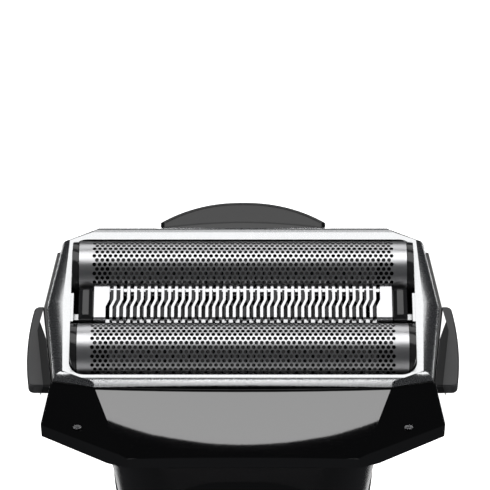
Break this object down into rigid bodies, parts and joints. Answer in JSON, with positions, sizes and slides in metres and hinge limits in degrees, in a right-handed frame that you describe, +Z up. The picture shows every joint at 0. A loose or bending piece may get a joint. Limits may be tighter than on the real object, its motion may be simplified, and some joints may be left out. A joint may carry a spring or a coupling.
{
  "type": "electric shaver",
  "caption": "Upright wet-and-dry foil shaver with a swivelling head, floating foils around a slit comb, side release buttons and a pop-up trimmer at the back.",
  "frame": {"origin": "middle of the base, on the surface that it stands on", "axes": "+Z up along the handle, -Y out of the front with the power button, +X to the right seen from the front"},
  "size_m": [0.0646, 0.0428, 0.1572],
  "materials": {
    "gloss_black": "piano black, polished",
    "satin_black": "satin moulded black",
    "silver": "satin silver metallised",
    "foil_steel": "bright perforated sheet",
    "cap_black": "dark moulded",
    "blade_steel": "ground steel",
    "button_grey": "matte dark grey",
    "rubber_black": "soft matte",
    "white_plastic": "natural acetal",
    "inner_plastic": "moulded dark grey",
    "steel": "plain steel",
    "core_steel": "laminated iron",
    "copper": "enamelled copper wire",
    "contact_metal": "nickel plated",
    "cell_wrap": "shrink sleeve",
    "board_green": "solder mask",
    "led": "diffused",
    "window": "smoked"
  },
  "bodies": {
    "handle": {"front_housing": "satin_black", "rear_housing": "satin_black", "front_bezel": "gloss_black", "display_window": "window", "right_grip": "rubber_black", "left_grip": "rubber_black", "bottom_cap": "satin_black", "cap_screws": "steel", "cap_seal": "rubber_black", "inlet_socket": "inner_plastic", "inlet_pins": "contact_metal", "chassis": "inner_plastic", "battery_cell": "cell_wrap", "battery_tabs": "contact_metal", "circuit_board": "board_green", "status_leds": "led", "power_switch": "inner_plastic", "button_spring": "steel", "neck_yoke": "inner_plastic", "neck_collar": "inner_plastic", "neck_gaiter": "rubber_black"},
    "power_button": {"power_button": "button_grey"},
    "pivot": {"pivot_frame": "inner_plastic", "pivot_pins": "steel"},
    "head": {"head_front_cover": "gloss_black", "head_rear_cover": "satin_black", "head_deck": "inner_plastic", "deck_seal": "rubber_black", "head_screws": "steel", "motor_frame": "inner_plastic", "stator_core": "core_steel", "motor_coil": "copper", "leaf_springs": "steel", "release_springs": "steel"},
    "right_release": {"right_release_button": "button_grey"},
    "left_release": {"left_release_button": "button_grey"},
    "front_mover": {"front_mover": "white_plastic", "front_blade_springs": "steel"},
    "rear_mover": {"rear_mover": "white_plastic", "rear_blade_spring": "steel"},
    "front_blade": {"front_inner_blade": "blade_steel", "front_blade_carrier": "white_plastic"},
    "slit_blade": {"slit_inner_blade": "blade_steel", "slit_blade_carrier": "white_plastic"},
    "rear_blade": {"rear_inner_blade": "blade_steel", "rear_blade_carrier": "white_plastic"},
    "foil_frame": {"foil_frame": "silver"},
    "front_foil": {"front_foil": "foil_steel", "front_foil_caps": "cap_black"},
    "rear_foil": {"rear_foil": "foil_steel", "rear_foil_caps": "cap_black"},
    "slit_comb": {"slit_comb": "foil_steel", "comb_end_blocks": "cap_black"},
    "trimmer": {"trimmer_housing": "satin_black", "trimmer_fixed_blade": "blade_steel", "trimmer_motor": "steel", "trimmer_thumb_pad": "button_grey"},
    "trimmer_blade": {"trimmer_moving_blade": "blade_steel"},
    "trimmer_eccentric": {"trimmer_eccentric": "steel"}
  },
  "joints": [
    {"name": "power_press", "type": "slide", "parent": "handle", "child": "power_button", "axis": [0, 1, 0], "range_m": [0, 0.0008], "stiffness_N_per_m": 900, "springref_m": -0.0006, "deforming": ["button_spring"]},
    {"name": "head_pitch", "type": "hinge", "parent": "handle", "child": "pivot", "pos_m": [0, -0.0055, 0.137], "axis": [1, 0, 0], "range_deg": [-6, 6], "stiffness_Nm_per_rad": 0.35, "deforming": ["neck_gaiter"]},
    {"name": "head_roll", "type": "hinge", "parent": "pivot", "child": "head", "pos_m": [0, -0.0055, 0.137], "axis": [0, 1, 0], "range_deg": [-6, 6], "stiffness_Nm_per_rad": 0.35},
    {"name": "right_release_press", "type": "slide", "parent": "head", "child": "right_release", "axis": [-1, 0, 0], "range_m": [0, 0.0012], "stiffness_N_per_m": 900, "springref_m": -0.0008, "deforming": ["release_springs"]},
    {"name": "left_release_press", "type": "slide", "parent": "head", "child": "left_release", "axis": [1, 0, 0], "range_m": [0, 0.0012], "stiffness_N_per_m": 900, "springref_m": -0.0008},
    {"name": "front_drive", "type": "slide", "parent": "head", "child": "front_mover", "axis": [1, 0, 0], "range_m": [-0.0012, 0.0012], "stiffness_N_per_m": 60, "deforming": ["leaf_springs"]},
    {"name": "rear_drive", "type": "slide", "parent": "head", "child": "rear_mover", "axis": [1, 0, 0], "range_m": [-0.0012, 0.0012], "stiffness_N_per_m": 60},
    {"name": "foil_frame_lift", "type": "slide", "parent": "head", "child": "foil_frame", "axis": [0, 0, 1], "range_m": [0, 0.03]},
    {"name": "front_foil_float", "type": "slide", "parent": "foil_frame", "child": "front_foil", "axis": [0, 0, -1], "range_m": [0, 0.0015], "stiffness_N_per_m": 500, "springref_m": -0.0006},
    {"name": "rear_foil_float", "type": "slide", "parent": "foil_frame", "child": "rear_foil", "axis": [0, 0, -1], "range_m": [0, 0.0015], "stiffness_N_per_m": 500, "springref_m": -0.0006},
    {"name": "slit_comb_float", "type": "slide", "parent": "foil_frame", "child": "slit_comb", "axis": [0, 0, -1], "range_m": [0, 0.0015], "stiffness_N_per_m": 500, "springref_m": -0.0006},
    {"name": "front_blade_float", "type": "slide", "parent": "front_mover", "child": "front_blade", "axis": [0, 0, -1], "range_m": [0, 0.0015], "deforming": ["front_blade_springs"]},
    {"name": "slit_blade_float", "type": "slide", "parent": "front_mover", "child": "slit_blade", "axis": [0, 0, -1], "range_m": [0, 0.0015]},
    {"name": "rear_blade_float", "type": "slide", "parent": "rear_mover", "child": "rear_blade", "axis": [0, 0, -1], "range_m": [0, 0.0015], "deforming": ["rear_blade_spring"]},
    {"name": "trimmer_slide", "type": "slide", "parent": "handle", "child": "trimmer", "axis": [0, 0, 1], "range_m": [0, 0.01]},
    {"name": "trimmer_blade_drive", "type": "slide", "parent": "trimmer", "child": "trimmer_blade", "axis": [1, 0, 0], "range_m": [-0.0008, 0.0008]},
    {"name": "trimmer_eccentric_spin", "type": "hinge", "parent": "trimmer", "child": "trimmer_eccentric", "pos_m": [0, 0.0185, 0.1344], "axis": [0, 0, 1], "continuous": true}
  ],
  "couplings": [
    {"joint": "rear_drive", "follows": "front_drive", "ratio": -1},
    {"joint": "front_blade_float", "follows": "front_foil_float", "ratio": 1},
    {"joint": "slit_blade_float", "follows": "slit_comb_float", "ratio": 1},
    {"joint": "rear_blade_float", "follows": "rear_foil_float", "ratio": 1}
  ]
}
